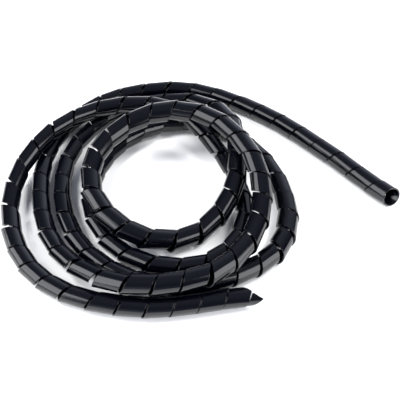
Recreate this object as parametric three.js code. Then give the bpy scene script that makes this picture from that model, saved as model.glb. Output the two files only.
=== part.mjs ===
// Spiral cable wrap: one black plastic tube, cut right through by a long helical slit,
// lying on a level floor in loose coils, with its last stretch straight.
// Units are millimetres, +Z is up, and the floor is z = 0.

import * as THREE from 'three';

// Driving dimensions
const wall = 0.9;                // thickness of the plastic
const slit = 0.3;                // gap between two turns of the strip where they lie closest
const closedPitch = 14;          // length of tube that one turn of the strip takes when closed
const slack = 0.4;               // share of any further length that opens the slit
const fan = 0.5;                 // share of a bend's spread that opens the slit on its outside
const stepsPerTurn = 8;          // faces round one turn of the strip
const toMiddle = 1.7;            // moves the route so that its box is centred on the origin
const shortestRing = 3;          // least length of the ring left at either end
const joinTurn = 0.35;           // each turn of the strip is straight this far either side of its top
const pointLength = 11.5;        // the first end is cut to a point this long
const pointTurn = 0.15;          // where its tip lies round the tube, in turns from the top
const mouthSlope = 0.53;         // slope of the plane cut across the other end
const mouthTurn = -0.11;         // the side that this cut takes most off, in turns from the top
const tipWidth = 0.6;            // the strip stops where an end cut leaves it this narrow

// The route of the tube's centre line, as it lies: x, y and the height of the centre.
// The coils lie on the floor at the tube's own radius and pass over each other in low humps.
const outerCoil = [
  [83, -14, 5], [70.5, -30, 5], [59, -46, 5], [46, -61, 5], [31, -73, 5],
  [14, -83, 5], [-6, -88.5, 5], [-25, -87.5, 5], [-44.5, -80.5, 5], [-60.5, -69.5, 6],
  [-71, -54, 11], [-76, -35, 16], [-79, -16, 16], [-75, 4, 16], [-66, 21, 16],
  [-52, 35, 16], [-34, 42.5, 15], [-14.5, 44, 8.5],
];
const innerCoil = [
  [4.5, 40.5, 5], [23, 32.5, 5], [39.5, 20.5, 5], [50, 3.5, 5], [51, -16, 5],
  [40, -33.5, 5], [24, -44, 5], [5, -48, 5], [-14, -45, 5], [-31, -35, 5],
  [-43, -19, 5], [-49, 0, 5], [-48.5, 19, 5], [-41.5, 37, 5], [-28, 51, 5],
  [-10, 58, 5], [10, 59, 5], [29, 55, 5],
];
const middleCoil = [
  [46.5, 45.5, 5], [61.5, 32.5, 5], [70.5, 14.5, 5], [69, -5, 5], [61.5, -22.5, 5],
  [50.5, -38.5, 5], [34.5, -52, 5], [16.5, -59, 5], [-4, -61, 5], [-22.5, -57, 5],
  [-40.5, -48, 5], [-56, -35, 5], [-67, -19.5, 5], [-72.5, -1, 5], [-73, 18, 5],
  [-67, 37, 5], [-56.5, 52.5, 5], [-40.5, 62.5, 8.5],
];
const raisedCoil = [
  [-21.5, 61.5, 14.5], [-2.5, 55.5, 17], [12.5, 42.5, 17], [26, 27.5, 16], [33, 10.5, 11],
  [33.5, -10, 7], [24.5, -27.5, 7.5], [9.5, -39, 13], [-10, -42, 18], [-28, -35, 19],
  [-40, -20, 22], [-43, -1, 25], [-38, 18, 28], [-26.5, 33.5, 29], [-8, 42, 30],
  [12, 41.5, 30], [31.5, 35.5, 28], [46.5, 25.5, 22], [57.5, 9.5, 18], [62.5, -10, 17],
  [60.5, -29, 17], [50.5, -46, 17], [36, -61, 16], [18, -69.5, 13],
];
const lastCoil = [
  [-1, -72, 8], [-20, -70.5, 5], [-38, -63.5, 5], [-55, -53, 5], [-70, -40, 5],
  [-81, -24, 5], [-87, -5, 5], [-88, 15, 5], [-83, 34, 5], [-73, 51, 5],
  [-60, 66, 5], [-43, 76, 5],
];
const straightEnd = [
  [-24, 82, 5], [-5, 86, 5], [15, 88.5, 5], [34, 88.5, 5], [51, 88.5, 5],
  [65, 87.5, 5], [79, 86.5, 5], [94, 86.5, 5],
];

// The tube is made with an outer radius of 5. It draws in at its pointed end, and its coils
// have sprung open a little in places: outer radius at distances along the route.
const openedUp = [
  [0, 4.6], [10, 5.1], [22, 5.4], [80, 5.3], [96, 5.1], [112, 5.3], [150, 5.3], [175, 5.1], [300, 5], [680, 5],
  [700, 5.3], [745, 6], [762, 5.5], [790, 5.3], [850, 5], [1030, 5], [1100, 5.7], [1185, 5.6],
  [1200, 5.8], [1225, 5.8], [1245, 5.6], [1290, 6], [1320, 6], [1345, 5.5], [1485, 5.5], [1530, 5.1],
  [1560, 5], [1765, 5], [1800, 5.6], [1885, 5.6], [1902, 5.8],
];

// The slit winds unevenly where the tube is bent or pulled: turns made by each distance
const turnMarks = [
  [6.5, 0.58], [31.5, 2.58], [46, 3.58], [58, 4.58], [116, 8.54],
  [128, 9.52], [142, 10.50], [154, 11.48], [173, 12.45], [185, 13.43], [201, 14.41],
  [227, 16.39], [245, 17.37], [276, 19.37], [295, 20.45], [339, 23.50], [358, 24.51],
  [404, 27.49], [418, 28.47], [429, 29.50], [444, 30.51], [458, 31.56], [489, 33.57],
  [502, 34.55], [519, 35.52], [583, 40.41], [599, 41.42], [686, 47.51], [705, 48.43],
  [717, 49.45], [746, 51.49], [758, 52.52], [785, 54.57], [856, 59.56], [871, 60.55],
  [884, 61.52], [900, 62.50], [941, 65.43], [958, 66.41], [1024, 71.45], [1042, 72.45],
  [1068, 73.45], [1086, 74.50], [1130, 77.50], [1141, 78.53], [1154, 79.55], [1171, 80.58],
  [1184, 81.59], [1201, 82.59], [1227, 84.55], [1257, 86.46], [1268, 87.43], [1280, 88.40],
  [1311, 90.37], [1324, 91.37], [1386, 95.42], [1424, 98.50], [1455, 100.55], [1468, 101.57],
  [1485, 102.58], [1495, 103.58], [1513, 104.58], [1524, 105.57], [1545, 106.56], [1561, 107.54],
  [1574, 108.50], [1590, 109.49], [1602, 110.47], [1720, 118.45], [1739, 119.45], [1756, 120.45],
  [1768, 121.37], [1803, 123.38], [1817, 124.38], [1834, 125.38], [1863, 127.39], [1879, 128.39],
  [1893, 129.39],
];

const routePoints = [outerCoil, innerCoil, middleCoil, raisedCoil, lastCoil, straightEnd]
  .flat()
  .map(([x, y, z]) => new THREE.Vector3(x - toMiddle, y, z));
const route = new THREE.CatmullRomCurve3(routePoints, false, 'centripetal');
route.arcLengthDivisions = 4000;
const routeLength = route.getLength();
const up = new THREE.Vector3(0, 0, 1);

function outerRadiusAt(distance) {
  for (let i = 1; i < openedUp.length; i += 1) {
    const [before, radiusBefore] = openedUp[i - 1];
    const [after, radiusAfter] = openedUp[i];
    if (distance < after) {
      const share = THREE.MathUtils.smoothstep(distance, before, after);
      return THREE.MathUtils.lerp(radiusBefore, radiusAfter, share);
    }
  }
  return openedUp.at(-1)[1];
}

// How far along the route the middle of the strip lies once it has made so many turns
function distanceAfter(turns) {
  let i = 1;
  while (i < turnMarks.length - 1 && turns > turnMarks[i][1]) i += 1;
  const [distanceBefore, turnsBefore] = turnMarks[i - 1];
  const [distanceNext, turnsNext] = turnMarks[i];
  const share = (turns - turnsBefore) / (turnsNext - turnsBefore);
  return distanceBefore + (distanceNext - distanceBefore) * share;
}

// One turn of the strip is a short straight ring, laid along a chord of the route
function ringAt(turn) {
  const distance = distanceAfter(turn);
  const start = Math.max(Math.min(distanceAfter(turn - 0.5), routeLength - shortestRing), 0);
  const end = Math.min(Math.max(distanceAfter(turn + 0.5), shortestRing), routeLength);
  const startPoint = route.getPointAt(start / routeLength);
  const endPoint = route.getPointAt(end / routeLength);
  const along = new THREE.Vector3().subVectors(endPoint, startPoint).normalize();
  const centre = startPoint.add(endPoint).divideScalar(2)
    .addScaledVector(along, distance - (start + end) / 2);
  return { distance, centre, along };
}

// How far along the tube the pointed end begins, at one angle round it
function startCutAt(angle) {
  return pointLength * Math.abs(Math.sin(angle / 2 - pointTurn * Math.PI));
}

// How far along the tube the plane of the mouth lies, at one angle and distance from the middle
function mouthAt(angle, out) {
  return routeLength - mouthSlope * out * Math.cos(angle - mouthTurn * 2 * Math.PI);
}

// The four corners of the strip's section after so many turns, where it belongs to one ring.
// Two rings all but touch on the inside of a bend and stand apart on its outside.
function cornersOnRing(turn, turns) {
  const here = distanceAfter(turns);
  const radius = outerRadiusAt(THREE.MathUtils.clamp(here, 0, routeLength));
  const angle = turns * 2 * Math.PI;
  const { distance, centre, along } = ringAt(turn);
  const side = new THREE.Vector3().crossVectors(along, up).normalize();
  const top = new THREE.Vector3().crossVectors(side, along);
  const outward = new THREE.Vector3()
    .addScaledVector(top, Math.cos(angle))
    .addScaledVector(side, -Math.sin(angle));
  const [halfBack, halfFront] = [-1, 1].map((neighbour) => {
    const turned = ringAt(turn + neighbour).along.sub(along).multiplyScalar(neighbour);
    const pitch = (distanceAfter(turns + neighbour) - here) * neighbour;
    const inward = turned.dot(outward);
    const gap = slit + slack * Math.max(pitch - closedPitch, 0)
      + fan * radius * (turned.length() - inward);
    return (pitch - radius * inward - gap) / 2;
  });
  const back = Math.max(here - halfBack, startCutAt(angle));
  const front = here + halfFront;
  if (Math.min(front, mouthAt(angle, radius)) - back < tipWidth) return null;
  centre.z = Math.max(centre.z, radius);
  const corners = [
    [radius - wall, back], [radius - wall, front], [radius, front], [radius, back],
  ];
  return corners.map(([out, edge]) => centre.clone()
    .addScaledVector(outward, out)
    .addScaledVector(along, Math.min(edge, mouthAt(angle, out)) - distance));
}

// The strip, as the stations of a left-handed helix. Under the tube, where it comes from one
// ring to the next, it passes smoothly from the line of the one to that of the other.
const positions = [];
const cornersPerStation = 4;
for (let step = -stepsPerTurn; ; step += 1) {
  const turns = step / stepsPerTurn;
  const turn = Math.floor(turns);
  const share = THREE.MathUtils.smoothstep(turns - turn, joinTurn, 1 - joinTurn);
  const corners = cornersOnRing(turn, turns);
  const nextCorners = cornersOnRing(turn + 1, turns);
  if (corners && nextCorners) {
    corners.forEach((corner, index) => {
      corner.lerp(nextCorners[index], share);
      positions.push(corner.x, corner.y, Math.max(corner.z, 0));
    });
  } else {
    if (distanceAfter(turns) > routeLength / 2) break;
    positions.length = 0;
  }
}

// Four faces join each station to the next, and a small flat face closes each end
const stationCount = positions.length / 3 / cornersPerStation;
const indices = [0, 1, 2, 0, 2, 3];
for (let station = 0; station < stationCount - 1; station += 1) {
  const here = station * cornersPerStation;
  const next = here + cornersPerStation;
  for (let corner = 0; corner < cornersPerStation; corner += 1) {
    const other = (corner + 1) % cornersPerStation;
    indices.push(here + corner, next + corner, next + other);
    indices.push(here + corner, next + other, here + other);
  }
}
const last = (stationCount - 1) * cornersPerStation;
indices.push(last, last + 2, last + 1, last, last + 3, last + 2);

const geometry = new THREE.BufferGeometry();
geometry.setAttribute('position', new THREE.Float32BufferAttribute(positions, 3));
geometry.setIndex(indices);
geometry.computeVertexNormals();

const blackPlastic = new THREE.MeshStandardMaterial({
  color: 0x24262c,
  roughness: 0.35,
  metalness: 0,
});
const wrap = new THREE.Mesh(geometry, blackPlastic);
wrap.name = 'spiral_wrap';

const group = new THREE.Group();
group.add(wrap);

export default group;
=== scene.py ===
import bisect
import math

import bpy
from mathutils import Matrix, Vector


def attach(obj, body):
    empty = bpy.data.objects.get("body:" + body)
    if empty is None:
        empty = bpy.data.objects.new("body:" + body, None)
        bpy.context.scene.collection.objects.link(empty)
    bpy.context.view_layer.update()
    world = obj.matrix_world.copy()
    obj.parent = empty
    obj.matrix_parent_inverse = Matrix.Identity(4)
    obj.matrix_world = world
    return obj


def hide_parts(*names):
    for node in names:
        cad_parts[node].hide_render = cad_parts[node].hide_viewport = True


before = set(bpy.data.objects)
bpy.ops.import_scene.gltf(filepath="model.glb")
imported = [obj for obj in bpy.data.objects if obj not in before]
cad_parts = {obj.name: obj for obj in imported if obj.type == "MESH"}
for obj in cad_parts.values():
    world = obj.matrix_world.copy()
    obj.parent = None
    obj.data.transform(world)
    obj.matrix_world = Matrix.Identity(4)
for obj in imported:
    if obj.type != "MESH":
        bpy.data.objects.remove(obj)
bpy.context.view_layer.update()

# The camera looks down on the coils from the side that the wrap's pointed end turns to,
# as the photograph does. It stands so that the coils fill the same part of the square picture.
MM = 0.001
look_at = Vector((12.3, 10, 0)) * MM
camera_height = 271 * MM
camera_pitch = math.radians(52)
camera_turn = math.radians(45)
focal_pixels = 585
picture_pixels = 400
sensor_width = 36

camera_distance = camera_height / math.sin(camera_pitch)
camera_data = bpy.data.cameras.new("camera")
camera_data.sensor_width = sensor_width
camera_data.sensor_height = sensor_width
camera_data.lens = sensor_width * focal_pixels / picture_pixels
camera = bpy.data.objects.new("camera", camera_data)
bpy.context.collection.objects.link(camera)
camera.rotation_euler = (math.pi / 2 - camera_pitch, 0, camera_turn)
forward = Vector((-math.sin(camera_turn) * math.cos(camera_pitch),
                  math.cos(camera_turn) * math.cos(camera_pitch),
                  -math.sin(camera_pitch)))
camera.location = look_at - forward * camera_distance
bpy.context.scene.camera = camera

# The wrap's route. It is a flexible polyethylene tube, about 1.9 m long, thrown down in loose
# coils: the points follow the middle of the tube from its pointed end to its open mouth.
outer_coil = [
    (83, -14, 5), (70.5, -30, 5), (59, -46, 5), (46, -61, 5), (31, -73, 5),
    (14, -83, 5), (-6, -88.5, 5), (-25, -87.5, 5), (-44.5, -80.5, 5), (-60.5, -69.5, 6),
    (-71, -54, 11), (-76, -35, 16), (-79, -16, 16), (-75, 4, 16), (-66, 21, 16),
    (-52, 35, 16), (-34, 42.5, 15), (-14.5, 44, 8.5),
]
inner_coil = [
    (4.5, 40.5, 5), (23, 32.5, 5), (39.5, 20.5, 5), (50, 3.5, 5), (51, -16, 5),
    (40, -33.5, 5), (24, -44, 5), (5, -48, 5), (-14, -45, 5), (-31, -35, 5),
    (-43, -19, 5), (-49, 0, 5), (-48.5, 19, 5), (-41.5, 37, 5), (-28, 51, 5),
    (-10, 58, 5), (10, 59, 5), (29, 55, 5),
]
middle_coil = [
    (46.5, 45.5, 5), (61.5, 32.5, 5), (70.5, 14.5, 5), (69, -5, 5), (61.5, -22.5, 5),
    (50.5, -38.5, 5), (34.5, -52, 5), (16.5, -59, 5), (-4, -61, 5), (-22.5, -57, 5),
    (-40.5, -48, 5), (-56, -35, 5), (-67, -19.5, 5), (-72.5, -1, 5), (-73, 18, 5),
    (-67, 37, 5), (-56.5, 52.5, 5), (-40.5, 62.5, 8.5),
]
raised_coil = [
    (-21.5, 61.5, 14.5), (-2.5, 55.5, 17), (12.5, 42.5, 17), (26, 27.5, 16), (33, 10.5, 11),
    (33.5, -10, 7), (24.5, -27.5, 7.5), (9.5, -39, 13), (-10, -42, 18), (-28, -35, 19),
    (-40, -20, 22), (-43, -1, 25), (-38, 18, 28), (-26.5, 33.5, 29), (-8, 42, 30),
    (12, 41.5, 30), (31.5, 35.5, 28), (46.5, 25.5, 22), (57.5, 9.5, 18), (62.5, -10, 17),
    (60.5, -29, 17), (50.5, -46, 17), (36, -61, 16), (18, -69.5, 13),
]
last_coil = [
    (-1, -72, 8), (-20, -70.5, 5), (-38, -63.5, 5), (-55, -53, 5), (-70, -40, 5),
    (-81, -24, 5), (-87, -5, 5), (-88, 15, 5), (-83, 34, 5), (-73, 51, 5),
    (-60, 66, 5), (-43, 76, 5),
]
straight_end = [
    (-24, 82, 5), (-5, 86, 5), (15, 88.5, 5), (34, 88.5, 5), (51, 88.5, 5),
    (65, 87.5, 5), (79, 86.5, 5), (94, 86.5, 5),
]
to_middle = Vector((1.7, 0, 0))
route_points = [
    (Vector(point) - to_middle) * MM
    for point in outer_coil + inner_coil + middle_coil + raised_coil + last_coil + straight_end
]
samples_per_span = 24


def smooth_line(points):
    """A centripetal Catmull-Rom curve through the points, as a fine line of samples."""
    first = points[0] * 2 - points[1]
    final = points[-1] * 2 - points[-2]
    padded = [first] + points + [final]
    line = []
    for p0, p1, p2, p3 in zip(padded, padded[1:], padded[2:], padded[3:]):
        t0 = math.sqrt((p1 - p0).length)
        t1 = math.sqrt((p2 - p1).length)
        t2 = math.sqrt((p3 - p2).length)
        slope1 = ((p1 - p0) / t0 - (p2 - p0) / (t0 + t1) + (p2 - p1) / t1) * t1
        slope2 = ((p2 - p1) / t1 - (p3 - p1) / (t1 + t2) + (p3 - p2) / t2) * t1
        for k in range(samples_per_span):
            t = k / samples_per_span
            line.append(p1 + slope1 * t
                        + (3 * (p2 - p1) - 2 * slope1 - slope2) * t * t
                        + (2 * (p1 - p2) + slope1 + slope2) * t ** 3)
    line.append(points[-1].copy())
    return line


route_line = smooth_line(route_points)
route_distance = [0.0]
for start, end in zip(route_line, route_line[1:]):
    route_distance.append(route_distance[-1] + (end - start).length)
route_length = route_distance[-1]


def point_at(distance):
    """The middle of the tube at a distance along the route."""
    index = min(max(bisect.bisect_right(route_distance, distance) - 1, 0), len(route_line) - 2)
    start, end = route_line[index], route_line[index + 1]
    share = (distance - route_distance[index]) / (route_distance[index + 1] - route_distance[index])
    return start.lerp(end, share)


def direction_at(distance, span=1.5 * MM):
    """The direction in which the tube runs at a distance along the route."""
    middle = min(max(distance, span), route_length - span)
    return (point_at(middle + span) - point_at(middle - span)).normalized()


def step_between(marks, value):
    """The first two marks between which a value lies, and how far along from the first."""
    index = 1
    while index < len(marks) - 1 and value > marks[index][0]:
        index += 1
    before, after = marks[index - 1], marks[index]
    return before, after, (value - before[0]) / (after[0] - before[0])


# The strip: the tube is extruded in one piece and then slit right through by a left-handed
# helix, so each turn is a short straight ring. In a bend the rings all but touch on its inside
# and stand apart on its outside. The tube draws in at its pointed end, and its coils have
# sprung open a little in places: its outer radius in mm at distances along the route.
tube_radius = 5 * MM
wall = 0.9 * MM
slit = 0.3 * MM
closed_pitch = 14 * MM
slack = 0.4
fan = 0.5
steps_per_turn = 40
shortest_ring = 3 * MM
join_turn = 0.35
point_length = 11.5 * MM
point_turn = 0.15
mouth_slope = 0.53
mouth_turn = -0.11
tip_width = 0.3 * MM
edge_round = 0.16 * MM
opened_up = [
    (0, 4.6), (10, 5.1), (22, 5.4), (80, 5.3), (96, 5.1), (112, 5.3), (150, 5.3), (175, 5.1),
    (300, 5), (680, 5),
    (700, 5.3), (745, 6), (762, 5.5), (790, 5.3), (850, 5), (1030, 5), (1100, 5.7), (1185, 5.6),
    (1200, 5.8), (1225, 5.8), (1245, 5.6), (1290, 6), (1320, 6), (1345, 5.5), (1485, 5.5), (1530, 5.1),
    (1560, 5), (1765, 5), (1800, 5.6), (1885, 5.6), (1902, 5.8),
]

# The slit winds unevenly where the tube is bent or pulled: turns made by each distance
turn_marks = [
    (6.5, 0.58), (31.5, 2.58), (46, 3.58), (58, 4.58), (116, 8.54),
    (128, 9.52), (142, 10.50), (154, 11.48), (173, 12.45), (185, 13.43), (201, 14.41),
    (227, 16.39), (245, 17.37), (276, 19.37), (295, 20.45), (339, 23.50), (358, 24.51),
    (404, 27.49), (418, 28.47), (429, 29.50), (444, 30.51), (458, 31.56), (489, 33.57),
    (502, 34.55), (519, 35.52), (583, 40.41), (599, 41.42), (686, 47.51), (705, 48.43),
    (717, 49.45), (746, 51.49), (758, 52.52), (785, 54.57), (856, 59.56), (871, 60.55),
    (884, 61.52), (900, 62.50), (941, 65.43), (958, 66.41), (1024, 71.45), (1042, 72.45),
    (1068, 73.45), (1086, 74.50), (1130, 77.50), (1141, 78.53), (1154, 79.55), (1171, 80.58),
    (1184, 81.59), (1201, 82.59), (1227, 84.55), (1257, 86.46), (1268, 87.43), (1280, 88.40),
    (1311, 90.37), (1324, 91.37), (1386, 95.42), (1424, 98.50), (1455, 100.55), (1468, 101.57),
    (1485, 102.58), (1495, 103.58), (1513, 104.58), (1524, 105.57), (1545, 106.56), (1561, 107.54),
    (1574, 108.50), (1590, 109.49), (1602, 110.47), (1720, 118.45), (1739, 119.45), (1756, 120.45),
    (1768, 121.37), (1803, 123.38), (1817, 124.38), (1834, 125.38), (1863, 127.39), (1879, 128.39),
    (1893, 129.39),
]
distance_marks = [(turns, distance) for distance, turns in turn_marks]


def radius_at(distance):
    """The tube's outer radius at a distance along the route."""
    before, after, share = step_between(opened_up, distance / MM)
    share = min(max(share, 0), 1)
    share = share * share * (3 - 2 * share)
    return (before[1] + (after[1] - before[1]) * share) * MM


def distance_after(turns):
    """How far along the route the middle of the strip lies after so many turns."""
    before, after, share = step_between(distance_marks, turns)
    return (before[1] + (after[1] - before[1]) * share) * MM


def ring_at(turn):
    """One turn of the strip, as a straight ring: how far along it lies, its middle, its direction."""
    distance = distance_after(turn)
    start = min(max(distance_after(turn - 0.5), 0), route_length - shortest_ring)
    end = max(min(distance_after(turn + 0.5), route_length), shortest_ring)
    along = (point_at(end) - point_at(start)).normalized()
    middle = (point_at(start) + point_at(end)) / 2 + along * (distance - (start + end) / 2)
    return distance, middle, along


def start_cut_at(angle):
    """How far along the tube the pointed end begins, at an angle round it."""
    return point_length * abs(math.sin(angle / 2 - point_turn * math.pi))


def mouth_at(angle, out):
    """How far along the tube the plane cut across its other end lies, at an angle round it."""
    return route_length - mouth_slope * out * math.cos(angle - mouth_turn * 2 * math.pi)


def strip_section(back, front, radius):
    """The strip's cross-section as (along, out) pairs: a flat bar with its edges rounded."""
    soft = min(edge_round, (front - back) / 3)
    inside = radius - wall
    turn_in = soft * (1 - math.sqrt(0.5))
    return [
        (back + soft, inside), (front - soft, inside),
        (front - turn_in, inside + turn_in), (front, inside + soft),
        (front, radius - soft), (front - turn_in, radius - turn_in), (front - soft, radius),
        (back + soft, radius), (back + turn_in, radius - turn_in), (back, radius - soft),
        (back, inside + soft), (back + turn_in, inside + turn_in),
    ]


def strip_on_ring(turn, turns):
    """The strip's section after so many turns, where it belongs to one ring, or nothing there."""
    here = distance_after(turns)
    radius = radius_at(min(max(here, 0), route_length))
    angle = turns * 2 * math.pi
    ring_distance, middle, along = ring_at(turn)
    side = along.cross(Vector((0, 0, 1))).normalized()
    top = side.cross(along)
    outward = top * math.cos(angle) - side * math.sin(angle)
    halves = []
    for neighbour in (-1, 1):
        turned = (ring_at(turn + neighbour)[2] - along) * neighbour
        pitch = (distance_after(turns + neighbour) - here) * neighbour
        spread = radius * (turned.length - turned.dot(outward))
        gap = slit + slack * max(pitch - closed_pitch, 0) + fan * spread
        halves.append((pitch - radius * turned.dot(outward) - gap) / 2)
    back = max(here - halves[0], start_cut_at(angle))
    front = min(here + halves[1], mouth_at(angle, radius - wall / 2))
    if front - back < tip_width:
        return []
    middle.z = max(middle.z, radius)
    section = []
    for edge, out in strip_section(back, front, radius):
        section.append((middle + outward * out + along * (edge - ring_distance), edge))
    return section


corners = []
around = []
step = -steps_per_turn
while True:
    turns = step / steps_per_turn
    step += 1
    turn = math.floor(turns)
    share = (turns - turn - join_turn) / (1 - 2 * join_turn)
    share = min(max(share, 0), 1)
    share = share * share * (3 - 2 * share)
    this_ring = strip_on_ring(turn, turns)
    next_ring = strip_on_ring(turn + 1, turns)
    if not this_ring or not next_ring:
        if distance_after(turns) > route_length / 2:
            break
        corners.clear()
        around.clear()
        continue
    for (corner, edge), (next_corner, next_edge) in zip(this_ring, next_ring):
        corner = corner.lerp(next_corner, share)
        corner.z = max(corner.z, 0)
        corners.append(corner)
        angle = turns * 2 * math.pi
        around.append((math.cos(angle), math.sin(angle), (edge + (next_edge - edge) * share) / MM))

section_size = len(strip_section(0, closed_pitch, tube_radius))
station_count = len(corners) // section_size
faces = [tuple(range(section_size))]
for station in range(station_count - 1):
    here = station * section_size
    for k in range(section_size):
        other = (k + 1) % section_size
        faces.append((here + k, here + k + section_size, here + other + section_size, here + other))
faces.append(tuple(reversed(range((station_count - 1) * section_size, len(corners)))))

wrap_mesh = bpy.data.meshes.new("wrap")
wrap_mesh.from_pydata([tuple(corner) for corner in corners], [], faces)
wrap_mesh.validate()
tube_place = wrap_mesh.attributes.new("tube_place", "FLOAT_VECTOR", "POINT")
tube_place.data.foreach_set("vector", [value for place in around for value in place])
wrap = bpy.data.objects.new("wrap", wrap_mesh)
bpy.context.collection.objects.link(wrap)
bpy.ops.object.select_all(action="DESELECT")
wrap.select_set(True)
bpy.context.view_layer.objects.active = wrap
bpy.ops.object.shade_smooth_by_angle(angle=math.radians(18))

# The plastic: glossy black polyethylene with a cold tint, marked along the tube by the die
black_plastic = bpy.data.materials.new("black_plastic")
black_plastic.use_nodes = True
nodes = black_plastic.node_tree.nodes
links = black_plastic.node_tree.links
shader = nodes["Principled BSDF"]
shader.inputs["Base Color"].default_value = (0.0006, 0.0008, 0.0024, 1)
shader.inputs["Roughness"].default_value = 0.1
shader.inputs["IOR"].default_value = 1.5
place = nodes.new("ShaderNodeAttribute")
place.attribute_name = "tube_place"
stretch = nodes.new("ShaderNodeMapping")
stretch.inputs["Scale"].default_value = (14, 14, 0.02)
die_lines = nodes.new("ShaderNodeTexNoise")
die_lines.inputs["Scale"].default_value = 1.6
die_lines.inputs["Detail"].default_value = 4
die_line_depth = 0.2 * MM
bump = nodes.new("ShaderNodeBump")
bump.inputs["Strength"].default_value = 0.12
bump.inputs["Distance"].default_value = die_line_depth
links.new(place.outputs["Vector"], stretch.inputs["Vector"])
links.new(stretch.outputs["Vector"], die_lines.inputs["Vector"])
links.new(die_lines.outputs["Fac"], bump.inputs["Height"])
links.new(bump.outputs["Normal"], shader.inputs["Normal"])
wrap_mesh.materials.append(black_plastic)

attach(wrap, "root")
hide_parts("spiral_wrap")

# The floor: a seamless white sweep, level under the coils
floor_size = 3
floor_clearance = 0.1 * MM
bpy.ops.object.select_all(action="DESELECT")
bpy.ops.mesh.primitive_plane_add(size=floor_size, location=(0, 0, -floor_clearance))
floor = bpy.context.object
floor.name = "floor"
floor_paint = bpy.data.materials.new("floor_paint")
floor_paint.use_nodes = True
floor_shader = floor_paint.node_tree.nodes["Principled BSDF"]
floor_shader.inputs["Base Color"].default_value = (0.9, 0.9, 0.9, 1)
floor_shader.inputs["Roughness"].default_value = 0.9
floor_shader.inputs["Specular IOR Level"].default_value = 0
floor.data.materials.append(floor_paint)

# The light: a tall softbox to the left and one to the right, both a little on the camera's side,
# and a dim room that is palest low beyond the coils and overhead. Angles are in degrees,
# clockwise from the way that the camera looks, and sizes are in metres.
def way(clockwise, height=0):
    """The direction at an angle clockwise from the way that the camera looks."""
    turn = camera_turn - math.radians(clockwise)
    return Vector((-math.sin(turn), math.cos(turn), height))


def softbox(name, clockwise, distance, width, bottom, top, brightness):
    """An upright softbox that faces the coils, with its light given as its brightness."""
    data = bpy.data.lights.new(name, "AREA")
    data.shape = "RECTANGLE"
    data.color = (0.96, 0.97, 1)
    data.size = width
    data.size_y = top - bottom
    data.energy = brightness * math.pi * width * (top - bottom)
    lamp = bpy.data.objects.new(name, data)
    bpy.context.collection.objects.link(lamp)
    lamp.location = way(clockwise) * distance + Vector((0, 0, (top + bottom) / 2))
    lamp.rotation_euler = (math.pi / 2, 0, camera_turn - math.radians(clockwise) + math.pi)
    lamp.visible_camera = False


softbox_distance = 1.2
softbox_brightness = 4.4
softbox("left softbox", -108, softbox_distance, 1.45, 0.15, 1.85, softbox_brightness)
softbox("right softbox", 124, softbox_distance, 1.08, 0.02, 1.55, softbox_brightness)

# A high lamp on each side lights the floor between the coils and leaves no reflection
floor_lamp_distance = 0.8
floor_lamp_height = 1.1
for name, clockwise in (("left floor lamp", -75), ("right floor lamp", 75)):
    lamp_data = bpy.data.lights.new(name, "AREA")
    lamp_data.shape = "DISK"
    lamp_data.size = 0.5
    lamp_data.energy = 16
    lamp = bpy.data.objects.new(name, lamp_data)
    bpy.context.collection.objects.link(lamp)
    lamp.location = way(clockwise) * floor_lamp_distance + Vector((0, 0, floor_lamp_height))
    lamp.rotation_euler = lamp.location.to_track_quat("Z", "Y").to_euler()
    lamp.visible_camera = False
    lamp.visible_glossy = False

room_brightness = 0.07
backdrop_brightness = 1.4
backdrop_way = way(22, 0.27).normalized()
ceiling_brightness = 0.26
world = bpy.data.worlds.new("studio")
world.use_nodes = True
world_nodes = world.node_tree.nodes
world_links = world.node_tree.links
sky_place = world_nodes.new("ShaderNodeTexCoord")
backdrop = world_nodes.new("ShaderNodeVectorMath")
backdrop.operation = "DOT_PRODUCT"
backdrop.inputs[1].default_value = backdrop_way
ceiling = world_nodes.new("ShaderNodeSeparateXYZ")
backdrop_share = world_nodes.new("ShaderNodeMath")
backdrop_share.operation = "POWER"
backdrop_share.use_clamp = True
backdrop_share.inputs[1].default_value = 6
ceiling_share = world_nodes.new("ShaderNodeMath")
ceiling_share.operation = "POWER"
ceiling_share.use_clamp = True
ceiling_share.inputs[1].default_value = 2
with_backdrop = world_nodes.new("ShaderNodeMath")
with_backdrop.operation = "MULTIPLY_ADD"
with_backdrop.inputs[1].default_value = backdrop_brightness
with_backdrop.inputs[2].default_value = room_brightness
with_ceiling = world_nodes.new("ShaderNodeMath")
with_ceiling.operation = "MULTIPLY_ADD"
with_ceiling.inputs[1].default_value = ceiling_brightness
world_links.new(sky_place.outputs["Generated"], backdrop.inputs[0])
world_links.new(sky_place.outputs["Generated"], ceiling.inputs["Vector"])
world_links.new(backdrop.outputs["Value"], backdrop_share.inputs[0])
world_links.new(ceiling.outputs["Z"], ceiling_share.inputs[0])
world_links.new(backdrop_share.outputs["Value"], with_backdrop.inputs[0])
world_links.new(ceiling_share.outputs["Value"], with_ceiling.inputs[0])
world_links.new(with_backdrop.outputs["Value"], with_ceiling.inputs[2])
world_links.new(with_ceiling.outputs["Value"], world_nodes["Background"].inputs["Strength"])
world_nodes["Background"].inputs["Color"].default_value = (0.78, 0.83, 1, 1)
bpy.context.scene.world = world
bpy.context.scene.view_settings.view_transform = "Standard"
